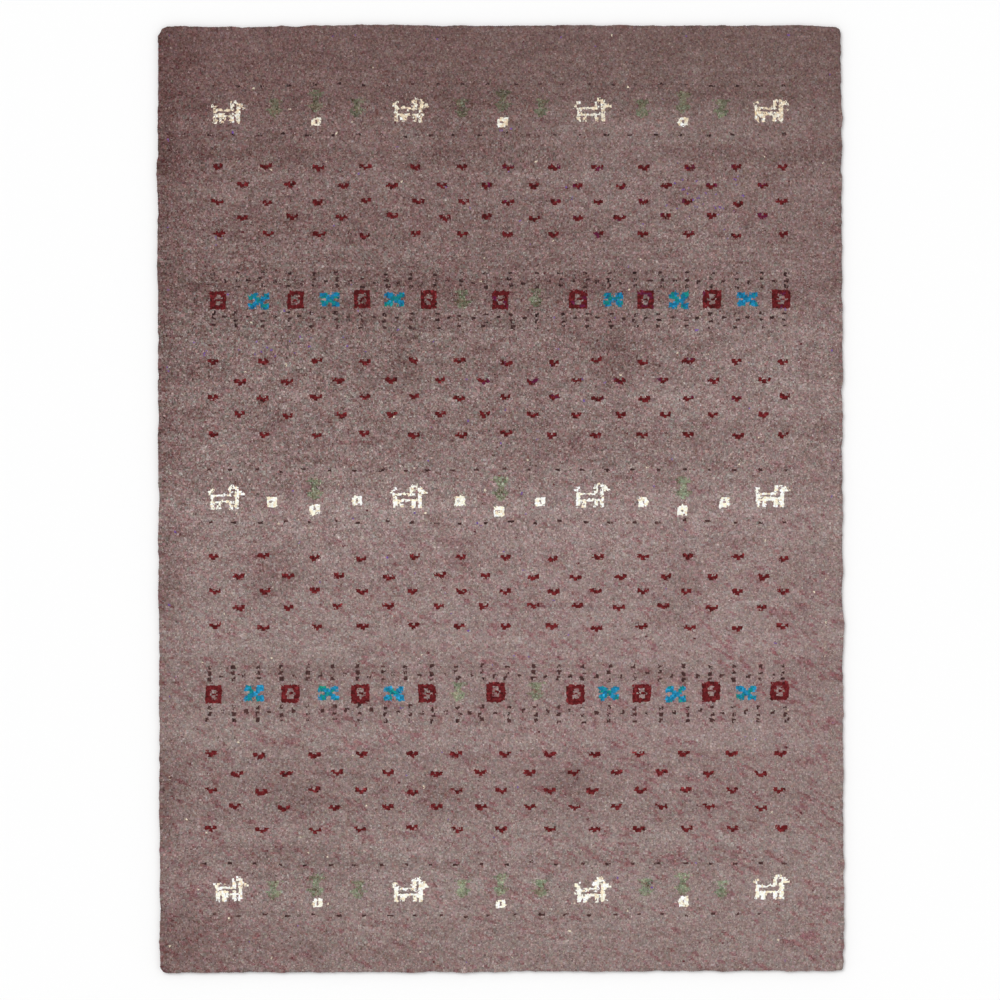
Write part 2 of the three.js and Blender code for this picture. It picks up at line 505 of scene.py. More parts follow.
def chart_hearts(chart):
    for field in HEART_FIELDS:
        for n, down in enumerate(field.down):
            columns = HEARTS_EVEN if n % 2 else HEARTS_ODD
            shift = np.interp(columns, HEARTS_REACH, (field.shift_left, field.shift_right))
            for across in columns + shift:
                heart = chart.pick(field.shapes)
                chart.stamp(heart, *chart.stray("heart", across, down), RED)


def chart_fence(chart, fence, dots):
    """Rows of dots one over another like posts, and one dot between each post and the next."""
    posts = dots_across(fence) + chart.rng.normal(0, POST_STRAY, fence.dots)
    for down in fence.down:
        for across in posts:
            place = chart.stray("fence dot", across, down)
            chart.stamp(chart.pick(dots), *place, DARK, chart.pick(DOT_FILLS))
    for across in (posts[1:] + posts[:-1]) / 2:
        place = chart.stray("dot between", across, fence.between)
        chart.stamp(chart.pick(dots), *place, DARK, chart.pick(DOT_FILLS))


def chart_square_band(chart, band):
    """Squares, crosses and plants in a row between two fences."""
    for fence in band["fences"]:
        chart_fence(chart, fence, band["dots"])
    for across in band["plants"]:
        chart.stamp(SHORT_PLANT, across, band["down"] - PLANT_RISE, GREEN, PLANT_FILL)
    for n, across in enumerate(band["squares"]):
        square = SQUARES[band["square_shapes"][n]]
        chart.stamp(square, across, band["down"] + band["wave"][n], RED)
    for n, across in enumerate(band["crosses"]):
        wave = np.interp(across, band["squares"], band["wave"])
        chart.stamp(CROSSES[n % len(CROSSES)], across, band["down"] + CROSS_DROP + wave, BLUE)


def chart_goat_rows(chart):
    """Plants, small squares and goats."""
    for row in PLANT_ROWS:
        for across in row["across"]:
            chart.stamp(row["plant"], across, row["down"], GREEN, PLANT_FILL)
    for row in SMALL_SQUARE_ROWS:
        for across in row["across"]:
            chart.stamp(chart.pick(SMALL_SQUARES), across, row["down"], IVORY)
    for goat in GOAT_PLACES:
        chart.stamp(GOATS[goat.shape], goat.across, goat.down, IVORY, goat.fill)


def knot_chart():
    """All figures, worked one over another into an empty chart."""
    chart = Chart(CHART_SEED)
    chart_dotted_lines(chart)
    chart_hearts(chart)
    for band in SQUARE_BANDS:
        chart_square_band(chart, band)
    chart_goat_rows(chart)
    return chart.kind, chart.filled


# Colours of the wool, as 8-bit values. Each wool's last column is how much it gains towards the low end,
# which is lighter.
BROWN_YARN = np.array((96, 70, 67))
TAUPE_YARN = np.array((168, 150, 146))
YARN_STEP = TAUPE_YARN - BROWN_YARN
FIGURE_WOOL = {
    RED: {"colour": (91, 12, 17), "spread": (13, 9, 9), "low_end_gain": (4, 6, 5)},
    BLUE: {"colour": (12, 118, 160), "spread": (9, 14, 18), "low_end_gain": (12, 10, 8)},
    IVORY: {"colour": (254, 251, 236), "spread": (4, 9, 16), "low_end_gain": (0, 0, 0)},
    DARK: {"colour": (59, 35, 34), "spread": (8, 6, 6), "low_end_gain": (10, 7, 6)},
}
LOW_END_FROM = 330
LOW_END_LENGTH = 300

# Green wool is the ground's, tinted, with mottled leaves
SAGE_TINT = (0.872, 1.037, 0.885)
LEAF_NOISE = (Noise(53, 2.5, 2.5, 0.07),)

# Other wools mixed in: plum in the red at the upper right, teal in the blue, and peach in the ivory
MIX_CELL = 2
PLUM_WOOL = {"colour": (96, 20, 54), "spread": 5, "seed": 52, "right_of": 480, "above": 400, "over": 1.15}
TEAL_WOOL = {"colour": (4, 122, 128), "spread": 9, "seed": 51, "mixing": 0.6, "over": 0.2}
PEACH_WOOL = {"colour": (245, 227, 198), "spread": 10, "top_end": 150, "top_share": 0.34, "share": 0.17}

# The ivory is warmer at the top end, and it and the red, blue and dark wool are darker there: painted shade,
# like the ground's
IVORY_SHADE_AND_WARMTH = (0.905, 0.885, 0.87)
TOP_SHADE_TO = 400
TOP_SHADE_LENGTH = 290
LIGHT_DOWN = {"at": (110, 300, 500), "light": (0.92, 0.95, 1.0)}

# Share of taupe in the ground down and across the rug, in pixels of the photograph. Its slow darkening
# towards the top end is painted shade, its steps from row to row are dye, and the ground is darker towards
# the left edge.
DOWN_SHADE = {
    "at": (24, 84, 95, 122, 143, 150, 176, 208, 222, 250, 286, 334, 372, 394,
           430, 486, 507, 590, 642, 668, 716, 731, 758, 804, 840, 862, 878, 972),
    "taupe": (0.21, 0.26, 0.22, 0.34, 0.34, 0.26, 0.40, 0.41, 0.35, 0.40, 0.31, 0.46, 0.45, 0.54,
              0.49, 0.60, 0.72, 0.66, 0.72, 0.61, 0.63, 0.70, 0.60, 0.57, 0.67, 0.60, 0.66, 0.59),
}
ACROSS_SHADE = {"at": (158, 172, 200, 500, 800, 843), "taupe": (-0.19, -0.10, -0.04, 0, 0.02, 0.02)}

# Soft spots on the rug: middle and reach each way, in pixels of the photograph, and the amount that they add
Spot = namedtuple("Spot", "across down wide high amount")

# Patches of painted light and shade where the pile lies another way, and of dye that took differently: the
# share of taupe that they add
PATCHES = (
    Spot(172, 60, 40, 60, -0.07),
    Spot(182, 150, 40, 40, -0.09),
    Spot(164, 300, 16, 240, -0.08),
    Spot(168, 540, 28, 14, -0.16),
    Spot(166, 588, 20, 22, -0.22),
    Spot(172, 783, 20, 32, -0.17),
    Spot(165, 831, 14, 22, -0.13),
    Spot(172, 940, 60, 56, -0.20),
    Spot(704, 122, 140, 24, 0.12),
    Spot(460, 134, 60, 34, -0.05),
    Spot(382, 142, 50, 14, 0.13),
    Spot(598, 162, 84, 42, 0.14),
    Spot(819, 148, 30, 9, -0.10),
    Spot(640, 214, 84, 20, 0.10),
    Spot(345, 252, 90, 16, 0.08),
    Spot(466, 280, 66, 15, -0.09),
    Spot(716, 272, 80, 52, 0.11),
    Spot(790, 318, 70, 50, 0.07),
    Spot(262, 350, 56, 12, 0.06),
    Spot(330, 318, 76, 9, -0.09),
    Spot(402, 355, 17, 22, -0.20),
    Spot(617, 354, 22, 22, -0.22),
    Spot(764, 384, 120, 44, 0.12),
    Spot(247, 494, 60, 18, -0.09),
    Spot(662, 420, 44, 18, 0.09),
    Spot(699, 426, 18, 8, -0.16),
    Spot(572, 451, 48, 12, -0.15),
    Spot(775, 460, 76, 24, 0.07),
    Spot(438, 522, 11, 10, -0.20),
    Spot(742, 537, 26, 12, -0.15),
    Spot(464, 555, 12, 16, -0.18),
    Spot(270, 574, 25, 27, -0.22),
    Spot(689, 578, 16, 38, -0.14),
    Spot(818, 600, 40, 120, -0.08),
    Spot(536, 616, 24, 15, -0.10),
    Spot(668, 620, 30, 15, -0.14),
    Spot(320, 671, 56, 6, -0.12),
    Spot(668, 674, 30, 8, -0.15),
    Spot(571, 783, 25, 24, -0.20),
    Spot(302, 798, 28, 18, -0.15),
    Spot(435, 800, 20, 15, -0.13),
    Spot(256, 850, 54, 9, -0.13),
    Spot(314, 872, 44, 18, -0.15),
    Spot(270, 950, 84, 24, -0.14),
)

# How strong the patches are, and how steep and ragged their edges
PATCH_STRENGTH = 0.9
PATCH_EDGE = 1.4
LEAST_RAGGED = 0.6
PATCH_RAGGED = (Noise(31, 5, 12, 0.20), Noise(32, 2, 5, 0.16))

# Blotches and streaks of the ground, from long and low ones to single knots
BLOTCHES = (
    Noise(42, 3, 22, 0.018),
    Noise(43, 4, 9, 0.022),
    Noise(44, 2.2, 4, 0.030),
    Noise(46, 2, 2.2, 0.036),
    Noise(45, 1.2, 20, 0.022),
)

# Where the ground is warmer or cooler: the levels by which red rises and green falls
WARM_SPOTS = (
    Spot(180, 60, 130, 130, 0.6),
    Spot(740, 70, 200, 70, -0.9),
    Spot(300, 345, 170, 50, -0.8),
    Spot(500, 545, 500, 50, 0.5),
    Spot(640, 690, 230, 110, 1.4),
    Spot(185, 900, 80, 90, 0.9),
)

# Odd-coloured fibres caught in the ground: groups of purple knots, and flecks all over
PURPLE_SPOTS = (
    Spot(712, 200, 40, 26, 40),
    Spot(290, 345, 80, 8, 24),
    Spot(218, 240, 6, 6, 5),
    Spot(500, 500, 300, 400, 160),
)

# Purple groups are gathered towards their middles, and all flecks keep away from the rim
PURPLE_FLECK = {"colour": (112, 78, 150), "part": 0.35}
PURPLE_GATHERED = 1.5
FLECKS = (
    {"colour": (214, 200, 176), "knots": 132, "part": 0.3},
    {"colour": (84, 36, 40), "knots": 160, "part": 0.5},
)
FLECK_MARGIN = 4

# How the colours break up: the share of tuft sides that show a neighbour's wool, in a figure and beside one,
# and the strength of the grain
FIGURE_GIVES = 0.08
GROUND_GIVES = 0.12
KNOT_GRAIN = 0.06
SIDE_GRAIN = 0.22
SIDE_TONE = 0.05
DARKEST = 0.02
BRIGHTEST = 0.98
FIGURE_GRAIN = {GROUND: 0.4, RED: 0.5, BLUE: 0.4, GREEN: 1.15, IVORY: 0.2, DARK: 0.3}

# The grain is quieter at both ends and towards the right side
GRAIN_DOWN = {
    "at": (24, 110, 250, 320, 460, 540, 640, 760, 860, 972),
    "strength": (0.65, 0.86, 1.03, 1.13, 1.08, 0.94, 0.76, 0.75, 0.81, 0.79),
}
GRAIN_ACROSS = {"at": (160, 840), "strength": (1.08, 0.88)}

# Reddish fibres drawn aslant through the ground, most of them in the lower half
RED_SLANT = (Noise(47, 2.0, 1.8, 1),)
RED_DRIFT = (Noise(48, 4, 14, 0.35),)
RED_OVER = 0.5
RED_MOST = 1.6
RED_DOWN = {
    "at": (24, 150, 340, 460, 560, 640, 760, 860, 972),
    "strength": (0.15, 0.35, 0.35, 0.6, 1.0, 1.35, 1.3, 1.3, 1.2),
}
RED_ACROSS = {"at": (160, 840), "strength": (0.85, 1.15)}

# How the ground's colour moves, in levels of red, green and blue
RED_LEVELS = (4, -3.5, -1.5)
WARM_LEVELS = (1, -1, -0.3)
HUE_LEVELS = (1, -0.6, -0.3)
HUE_SPREAD = 3.2
BLUE_SPREAD = 2.0
TAUPE_LOST_TO_RED = 0.12

COLOUR_SEED = 23


# Colouring the knots

def distance_squared(spot, across, down):
    """Squared distance from a spot's middle, where 1 is the end of its width or height."""
    return ((across - spot.across) / spot.wide) ** 2 + ((down - spot.down) / spot.high) ** 2


def grain_strength(across, down):
    return read_off(GRAIN_DOWN, "strength", down) * read_off(GRAIN_ACROSS, "strength", across)


def taupe_share(across, down):
    """Share of taupe in the ground: slow shading both ways and soft patches, partly painted shade and partly
    dye, with blotches and streaks.
    """
    taupe = read_off(DOWN_SHADE, "taupe", down) + read_off(ACROSS_SHADE, "taupe", across)
    ragged = np.clip(layered_noise(PATCH_RAGGED, *across.shape, start=1), LEAST_RAGGED, None)
    for patch in PATCHES:
        away = distance_squared(patch, across, down)
        taupe += patch.amount * np.exp(-away ** PATCH_EDGE * ragged ** 2) * PATCH_STRENGTH
    return taupe + layered_noise(BLOTCHES, *across.shape) * grain_strength(across, down)


def red_fibres(across, down):
    """Amount of reddish fibre in each knot."""
    fibres = slanted(layered_noise(RED_SLANT, *across.shape)) + layered_noise(RED_DRIFT, *across.shape)
    strength = read_off(RED_DOWN, "strength", down) * read_off(RED_ACROSS, "strength", across)
    return np.clip(fibres - RED_OVER, 0, RED_MOST) * strength


def ground_wool(rng, across, down):
    """Colour of the ground in each knot."""
    shape = across.shape
    strength = grain_strength(across, down)
    taupe = taupe_share(across, down) + rng.normal(0, KNOT_GRAIN, shape) * strength
    red = red_fibres(across, down)
    red -= red.mean(axis=1)[:, None]
    taupe -= TAUPE_LOST_TO_RED * red
    ground = BROWN_YARN + taupe[..., None] * YARN_STEP
    hue = rng.normal(0, HUE_SPREAD, shape) * strength
    ground += hue[..., None] * np.array(HUE_LEVELS)
    ground += red[..., None] * np.array(RED_LEVELS)
    ground[..., 2] += rng.normal(0, BLUE_SPREAD, shape)
    for spot in WARM_SPOTS:
        warmth = spot.amount * np.exp(-distance_squared(spot, across, down))
        ground += warmth[..., None] * np.array(WARM_LEVELS)
    return ground


def wool_light(chart, down):
    """How light each knot's wool is beside its full colour: painted shade towards the top end, and mottled
    leaves.
    """
    # Painted shade: the ivory, red, blue and dark wool darker towards the top end
    light = read_off(LIGHT_DOWN, "light", down)[..., None] * np.ones(3)
    top_shade = np.clip((TOP_SHADE_TO - down) / TOP_SHADE_LENGTH, 0, 1)[..., None] * (1 - np.array(IVORY_SHADE_AND_WARMTH))
    light = np.where((chart == IVORY)[..., None], 1 - top_shade, light)
    leaf = layered_noise(LEAF_NOISE, *chart.shape, start=1)
    return np.where((chart == GREEN)[..., None], leaf[..., None], light)


def mix_in(rng, figures, chosen, wool, channels):
    """Change the chosen knots to another wool. With one channel it only gets lighter and darker."""
    figures[chosen] = np.array(wool["colour"]) + rng.normal(0, wool["spread"], (chosen.sum(), channels))


def figure_wool(rng, chart, across, down, ground):
    """Colour of the figures in each knot. Where there is no figure the value isn't used."""
    shape = chart.shape
    figures = ground * np.array(SAGE_TINT)
    low_end = np.clip((down - LOW_END_FROM) / LOW_END_LENGTH, 0, 1)[..., None]
    for kind, wool in FIGURE_WOOL.items():
        chosen = chart == kind
        shade = rng.normal(0, 1, chosen.sum())[:, None]
        figures[chosen] = np.array(wool["colour"]) + shade * np.array(wool["spread"])
        figures[chosen] += (low_end * np.array(wool["low_end_gain"]))[chosen]

    upper_right = (across > PLUM_WOOL["right_of"]) & (down < PLUM_WOOL["above"])
    plum = upper_right & (soft_noise(PLUM_WOOL["seed"], *shape, MIX_CELL, MIX_CELL) > PLUM_WOOL["over"])
    mix_in(rng, figures, (chart == RED) & plum, PLUM_WOOL, channels=3)
    teal = soft_noise(TEAL_WOOL["seed"], *shape, MIX_CELL, MIX_CELL)
    teal += rng.normal(0, TEAL_WOOL["mixing"], shape)
    mix_in(rng, figures, (chart == BLUE) & (teal > TEAL_WOOL["over"]), TEAL_WOOL, channels=3)
    peach_share = np.where(down < PEACH_WOOL["top_end"], PEACH_WOOL["top_share"], PEACH_WOOL["share"])
    peach = rng.random(shape) < peach_share
    mix_in(rng, figures, (chart == IVORY) & peach, PEACH_WOOL, channels=1)
    return figures * wool_light(chart, down)


def lay_flecks(figures, filled, rows, columns, fleck):
    """Put a fleck's colour in part of each knot that no figure fills, away from the rim."""
    rows = np.clip(rows, FLECK_MARGIN, ROWS - 1 - FLECK_MARGIN).astype(int)
    columns = np.clip(columns, FLECK_MARGIN, COLUMNS - 1 - FLECK_MARGIN).astype(int)
    free = filled[rows, columns] == 0
    figures[rows[free], columns[free]] = fleck["colour"]
    filled[rows[free], columns[free]] = fleck["part"]


def add_flecks(rng, figures, filled):
    """Stray fibres: purple ones in loose groups, then cream and dark red ones all over."""
    for spot in PURPLE_SPOTS:
        column, row = knot_at(spot.across, spot.down)
        spread_down = spot.high * PIXEL / PITCH / PURPLE_GATHERED
        spread_over = spot.wide * PIXEL / PITCH / PURPLE_GATHERED
        rows = rng.normal(float(row), spread_down, spot.amount)
        columns = rng.normal(float(column), spread_over, spot.amount)
        lay_flecks(figures, filled, rows, columns, PURPLE_FLECK)
    for fleck in FLECKS:
        rows = rng.uniform(0, ROWS, fleck["knots"])
        columns = rng.uniform(0, COLUMNS, fleck["knots"])
        lay_flecks(figures, filled, rows, columns, fleck)


def tuft_colours(rng, chart, ground, figures, filled, strength):
    """Colour of the four sides of every tuft, in the order left, near, right and far. Neighbours mingle."""
    shape = filled.shape
    wide_figures = np.pad(figures, ((1, 1), (1, 1), (0, 0)), mode="edge")
    wide_filled = np.pad(filled, 1, mode="edge")
    figure_grain = np.array([FIGURE_GRAIN[kind] for kind in sorted(FIGURE_GRAIN)])[chart][..., None]
    sides = []
    for down, over in ((0, -1), (1, 0), (0, 1), (-1, 0)):
        beside = (slice(1 + down, 1 + down + ROWS), slice(1 + over, 1 + over + COLUMNS))
        mingled = rng.random(shape) < np.where(filled > 0, FIGURE_GIVES, GROUND_GIVES)
        figure = np.where(mingled[..., None], wide_figures[beside], figures)
        shows = rng.random(shape) < np.where(mingled, wide_filled[beside], filled)
        grain = (rng.normal(0, SIDE_GRAIN, shape) * strength)[..., None] * YARN_STEP
        side = np.where(shows[..., None], figure + grain * figure_grain, ground + grain)
        sides.append(side * rng.normal(1, SIDE_TONE, shape)[..., None])
    return np.clip(np.stack(sides) / 255, DARKEST, BRIGHTEST)


def to_linear(colour):
    """Display values from 0 to 1 as linear light."""
    return np.where(colour <= 0.04045, colour / 12.92, ((colour + 0.055) / 1.055) ** 2.4)


def wool_colours():
    """Linear colour of each tuft's four sides, over the whole grid."""
    rng = np.random.default_rng(COLOUR_SEED)
    chart, filled = knot_chart()
    across, down = knot_places()
    ground = ground_wool(rng, across, down)
    figures = figure_wool(rng, chart, across, down, ground)
    add_flecks(rng, figures, filled)
    strength = grain_strength(across, down)
    return to_linear(tuft_colours(rng, chart, ground, figures, filled, strength))


# Shape of the pile, in metres. Knot rows and columns wander most from this many knots inside the rim.
PILE_SEED = 5
SETTLED = 8
WANDER_ACROSS = (Noise(61, 36, 28, 0.0006), Noise(62, 6, 6, 0.0004))
WANDER_ALONG = (Noise(63, 24, 40, 0.0006), Noise(64, 6, 6, 0.0004))

# How unevenly knots and tuft tips sit, in parts of a knot, and how freely at the rim
UNEVEN = 0.17
CORNER_LIMIT = 0.4
TIP_LIMIT = 0.38
RIM_FREEDOM = 0.35

# Tufts rise from the valleys between them to their tips, and the pile rounds off towards the edge
TUFT_HEIGHT = 0.0017
HEIGHT_SPREAD = 0.00025
TIP_SPREAD = 0.0003
SHOULDER_DROP = 0.0020
SHOULDER_KNOTS = 2.6

# Slow lean of the tips, across and along
TIP_LEAN = 0.0007
LEAN_SEEDS = (71, 72)
LEAN_CELL = 20

# Low swells where the pile is brushed down: lengths across and along, depth
Swell = namedtuple("Swell", "across along depth")
SWELLS = (
    Swell(0.61, 0.47, 0.0003),
    Swell(0.26, 0.33, 0.00025),
    Swell(0.15, 0.19, 0.0002),
)
SWELL_DRIFT = 1.6

# Levels of the edge tufts below the knot grid, and how the edge is ragged, most on the right side
EdgeLevel = namedtuple("EdgeLevel", "out height ragged")
EDGE_LEVELS = (
    EdgeLevel(0.0017, 0.0088, 1.0),
    EdgeLevel(0.0026, 0.0064, 1.0),
    EdgeLevel(0.0017, 0.0042, 0.8),
    EdgeLevel(-0.0019, 0.0022, 0.1),
)
EDGE_RAGGED = (Noise(81, 1, 3.2, 0.0005), Noise(82, 1, 8, 0.0006))
RIGHT_SIDE_RAGGED = 1.5
EDGE_TRIM = 0.0004
EDGE_SLIDE = 0.14
SLIDE_LIMIT = 0.35
EDGE_TUFT_OUT = 0.0007

# The back's knots stand a little unevenly off the floor
BACK_SEED = 7
BACK_RISE = 0.00012
BACK_SPREAD = 0.00008
BACK_LIMIT = 0.0004

# The pile is laid in bands of whole knot rows
Band = namedtuple("Band", "name first")
BANDS = (
    Band("pile_top_figures", 0),
    Band("pile_upper_squares", 62),
    Band("pile_middle_figures", 158),
    Band("pile_lower_squares", 250),
    Band("pile_bottom_figures", 350),
)

TUFT_SIDES = 4
BAKE_MARGIN = 0.003
TINY = 1e-12


# Building the meshes

def paint_faces(mesh, colours):
    """Give each face its wool's colour."""
    wool = mesh.attributes.new("wool", "FLOAT_COLOR", "FACE")
    rgba = np.ones((len(colours), 4), np.float32)
    rgba[:, :3] = colours
    wool.data.foreach_set("color", rgba.ravel())


def add_bake_map(mesh, points, corners):
    """Spread the piece's outline, seen from above, over the unit square."""
    low = points.min(axis=0)[:2]
    high = points.max(axis=0)[:2]
    share = (points[corners, :2] - low) / (high - low)
    layer = mesh.uv_layers.new(name="OFBake")
    place = BAKE_MARGIN + (1 - 2 * BAKE_MARGIN) * share
    layer.data.foreach_set("uv", np.ascontiguousarray(place, np.float32).ravel())


def add_piece(name, points, faces, colours, material, normals=None, bake_map=False):
    """A mesh object of the rug, with one wool colour a face."""
    corners = np.concatenate(faces)
    sizes = np.array([len(face) for face in faces])
    mesh = bpy.data.meshes.new(name)
    mesh.vertices.add(len(points))
    mesh.vertices.foreach_set("co", np.ascontiguousarray(points, np.float32).ravel())
    mesh.loops.add(len(corners))
    mesh.loops.foreach_set("vertex_index", corners.astype(np.int32))
    mesh.polygons.add(len(sizes))
    mesh.polygons.foreach_set("loop_start", (np.cumsum(sizes) - sizes).astype(np.int32))
    mesh.update(calc_edges=True)
    mesh.polygons.foreach_set("use_smooth", np.ones(len(sizes), bool))
    paint_faces(mesh, colours)
    if bake_map:
        add_bake_map(mesh, points, corners)
    if normals is not None:
        mesh.normals_split_custom_set_from_vertices(normals)
    mesh.materials.append(material)
    piece = bpy.data.objects.new(name, mesh)
    bpy.context.scene.collection.objects.link(piece)
    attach(piece, "root")
    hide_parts("rug")
    return piece


def rim_walk(rows, columns):
    """Grid corners once round the rim, clockwise from the top left, and the knot beside each step."""
    top = [(0, i) for i in range(columns)]
    right = [(j, columns) for j in range(rows)]
    bottom = [(rows, i) for i in range(columns, 0, -1)]
    left = [(j, 0) for j in range(rows, 0, -1)]
    knots = [(0, i) for i in range(columns)]
    knots += [(j, columns - 1) for j in range(rows)]
    knots += [(rows - 1, i) for i in range(columns - 1, -1, -1)]
    knots += [(j, 0) for j in range(rows - 1, -1, -1)]
    return np.array(top + right + bottom + left), np.array(knots)


def swell(x, y):
    """How far the pile lies below its full height."""
    fall = 0
    for part in SWELLS:
        phase = 2 * math.pi * x / part.across + np.sin(2 * math.pi * y / part.along)
        drift = 2 * math.pi * y / (part.along * SWELL_DRIFT)
        fall = fall + part.depth * (0.5 + 0.5 * np.sin(phase + drift))
    return fall


def knot_corners(rng, plain_x, plain_y):
    """The points between the knots, in the valleys of the pile, each a little out of its place."""
    shape = plain_x.shape
    row = np.arange(shape[0])[:, None]
    column = np.arange(shape[1])[None, :]
    from_rim = np.minimum(np.minimum(row, ROWS - row), np.minimum(column, COLUMNS - column))
    inner = np.clip(from_rim / SETTLED, 0, 1)
    freedom = np.where(from_rim > 0, 1.0, RIM_FREEDOM)
    x = plain_x + inner * layered_noise(WANDER_ACROSS, *shape)
    y = plain_y + inner * layered_noise(WANDER_ALONG, *shape)
    x = x + freedom * clipped_normal(rng, UNEVEN, CORNER_LIMIT, shape) * PITCH
    y = y + freedom * clipped_normal(rng, UNEVEN, CORNER_LIMIT, shape) * PITCH
    shoulder = SHOULDER_DROP * np.clip(1 - from_rim / SHOULDER_KNOTS, 0, 1) ** 2
    level = PILE_TOP - swell(plain_x, plain_y) - shoulder
    valley = level - TUFT_HEIGHT + rng.normal(0, HEIGHT_SPREAD, shape)
    return np.stack((x, y, valley), axis=-1)


def tuft_tips(rng, corners):
    """One tip over each knot, off its middle and leaning slowly one way and another."""
    tips = (corners[1:, 1:] + corners[:-1, :-1] + corners[1:, :-1] + corners[:-1, 1:]) / 4
    tips[..., :2] += clipped_normal(rng, UNEVEN, TIP_LIMIT, (ROWS, COLUMNS, 2)) * PITCH
    lean = [soft_noise(seed, *corners.shape[:2], LEAN_CELL, LEAN_CELL)[1:, 1:] for seed in LEAN_SEEDS]
    tips[..., :2] += TIP_LEAN * np.stack(lean, axis=-1)
    tips[..., 2] += TUFT_HEIGHT + rng.normal(0, TIP_SPREAD, (ROWS, COLUMNS))
    return tips


def fan(loop, tip):
    """Triangles from each side of a closed loop up to its tip, for many loops at once."""
    following = loop[1:] + loop[:1]
    return [np.stack((p, q, tip), axis=-1).reshape(-1, 3) for p, q in zip(loop, following)]


def edge_tufts(rng, corners, plain, corner_id, first_id):
    """Rings of tufts that lean out over the side of the rug and tuck in to the foundation."""
    walk, beside = rim_walk(ROWS, COLUMNS)
    count = len(walk)
    base = plain[walk[:, 0], walk[:, 1]]
    along = np.roll(base, -2, axis=0) - np.roll(base, 2, axis=0)
    along /= np.linalg.norm(along, axis=1)[:, None]
    outward = np.stack((-along[:, 1], along[:, 0]), axis=-1)
    ragged = layered_noise(EDGE_RAGGED, 1, count)[0]
    ragged *= np.where(walk[:, 1] == COLUMNS, RIGHT_SIDE_RAGGED, 1.0)
    upper = corners[walk[:, 0], walk[:, 1]]
    upper_id = corner_id[walk[:, 0], walk[:, 1]]
    points = []
    faces = []
    for level in EDGE_LEVELS:
        reach = level.out + level.ragged * (ragged + rng.normal(0, TIP_SPREAD, count) - EDGE_TRIM)
        slide = along * clipped_normal(rng, EDGE_SLIDE, SLIDE_LIMIT, count)[:, None] * PITCH
        height = level.height + rng.normal(0, HEIGHT_SPREAD, count) * level.ragged
        ring = np.column_stack((base + outward * reach[:, None] + slide, height))
        tips = (upper + np.roll(upper, -1, axis=0) + np.roll(ring, -1, axis=0) + ring) / 4
        tuft_out = EDGE_TUFT_OUT + rng.normal(0, TIP_SPREAD, count)
        tips[:, :2] += outward * tuft_out[:, None] * level.ragged
        tips[:, 2] += rng.normal(0, TIP_SPREAD, count)
        ring_id = first_id + np.arange(count)
        faces += fan([upper_id, np.roll(upper_id, -1), np.roll(ring_id, -1), ring_id], ring_id + count)
        points += [ring, tips]
        first_id += 2 * count
        upper = ring
        upper_id = ring_id
    knots = [beside[:, 0] * COLUMNS + beside[:, 1]] * len(faces)
    return points, faces, knots


def smooth_normals(points, faces):
    """Normals at the points, over the whole pile, so that its bands meet without a seam."""
    first, second, third = (points[faces[:, k]] for k in range(3))
    cross = np.cross(second - first, third - first)
    normals = np.zeros_like(points)
    for k in range(3):
        for axis in range(3):
            normals[:, axis] += np.bincount(faces[:, k], cross[:, axis], len(points))
    return normals / (np.linalg.norm(normals, axis=1)[:, None] + TINY)


def pile_mesh():
    """Points, triangles, the knot of each triangle and smooth normals for the whole pile."""
    rng = np.random.default_rng(PILE_SEED)
    x, y = grid(ROWS, COLUMNS, GRID_INSET)
    corners = knot_corners(rng, x, y)
    tips = tuft_tips(rng, corners)
    corner_id = np.arange(x.size).reshape(x.shape)
    tip_id = x.size + np.arange(ROWS * COLUMNS).reshape(ROWS, COLUMNS)
    loop = [corner_id[:-1, :-1], corner_id[1:, :-1], corner_id[1:, 1:], corner_id[:-1, 1:]]
    faces = fan(loop, tip_id)
    knots = [np.arange(ROWS * COLUMNS)] * len(faces)
    plain = np.stack((x, y), axis=-1)
    edge_points, edge_faces, edge_knots = edge_tufts(rng, corners, plain, corner_id, x.size + tip_id.size)
    points = np.concatenate([corners.reshape(-1, 3), tips.reshape(-1, 3)] + edge_points)
    faces = np.concatenate(faces + edge_faces)
    knots = np.concatenate(knots + edge_knots)
    return points, faces, knots, smooth_normals(points, faces)


def add_pile(tuft_sides):
    """The pile as one joined mesh for each band. The edge tufts show a knot's four sides in turn."""
    points, faces, knots, normals = pile_mesh()
    row = knots // COLUMNS
    side = np.resize(np.arange(TUFT_SIDES), len(faces))
    side[: TUFT_SIDES * ROWS * COLUMNS] = np.repeat(np.arange(TUFT_SIDES), ROWS * COLUMNS)
    colours = tuft_sides[side, row, knots % COLUMNS]
    material = wool_pile()
    pieces = []
    for band, following in zip(BANDS, BANDS[1:] + (Band("end", ROWS),)):
        chosen = (row >= band.first) & (row < following.first)
        ids, packed = np.unique(faces[chosen], return_inverse=True)
        triangles = packed.reshape(-1, 3).astype(np.int32)
        pieces.append(add_piece(
            band.name, points[ids], triangles, colours[chosen], material, normals[ids], bake_map=True,
        ))
    return pieces


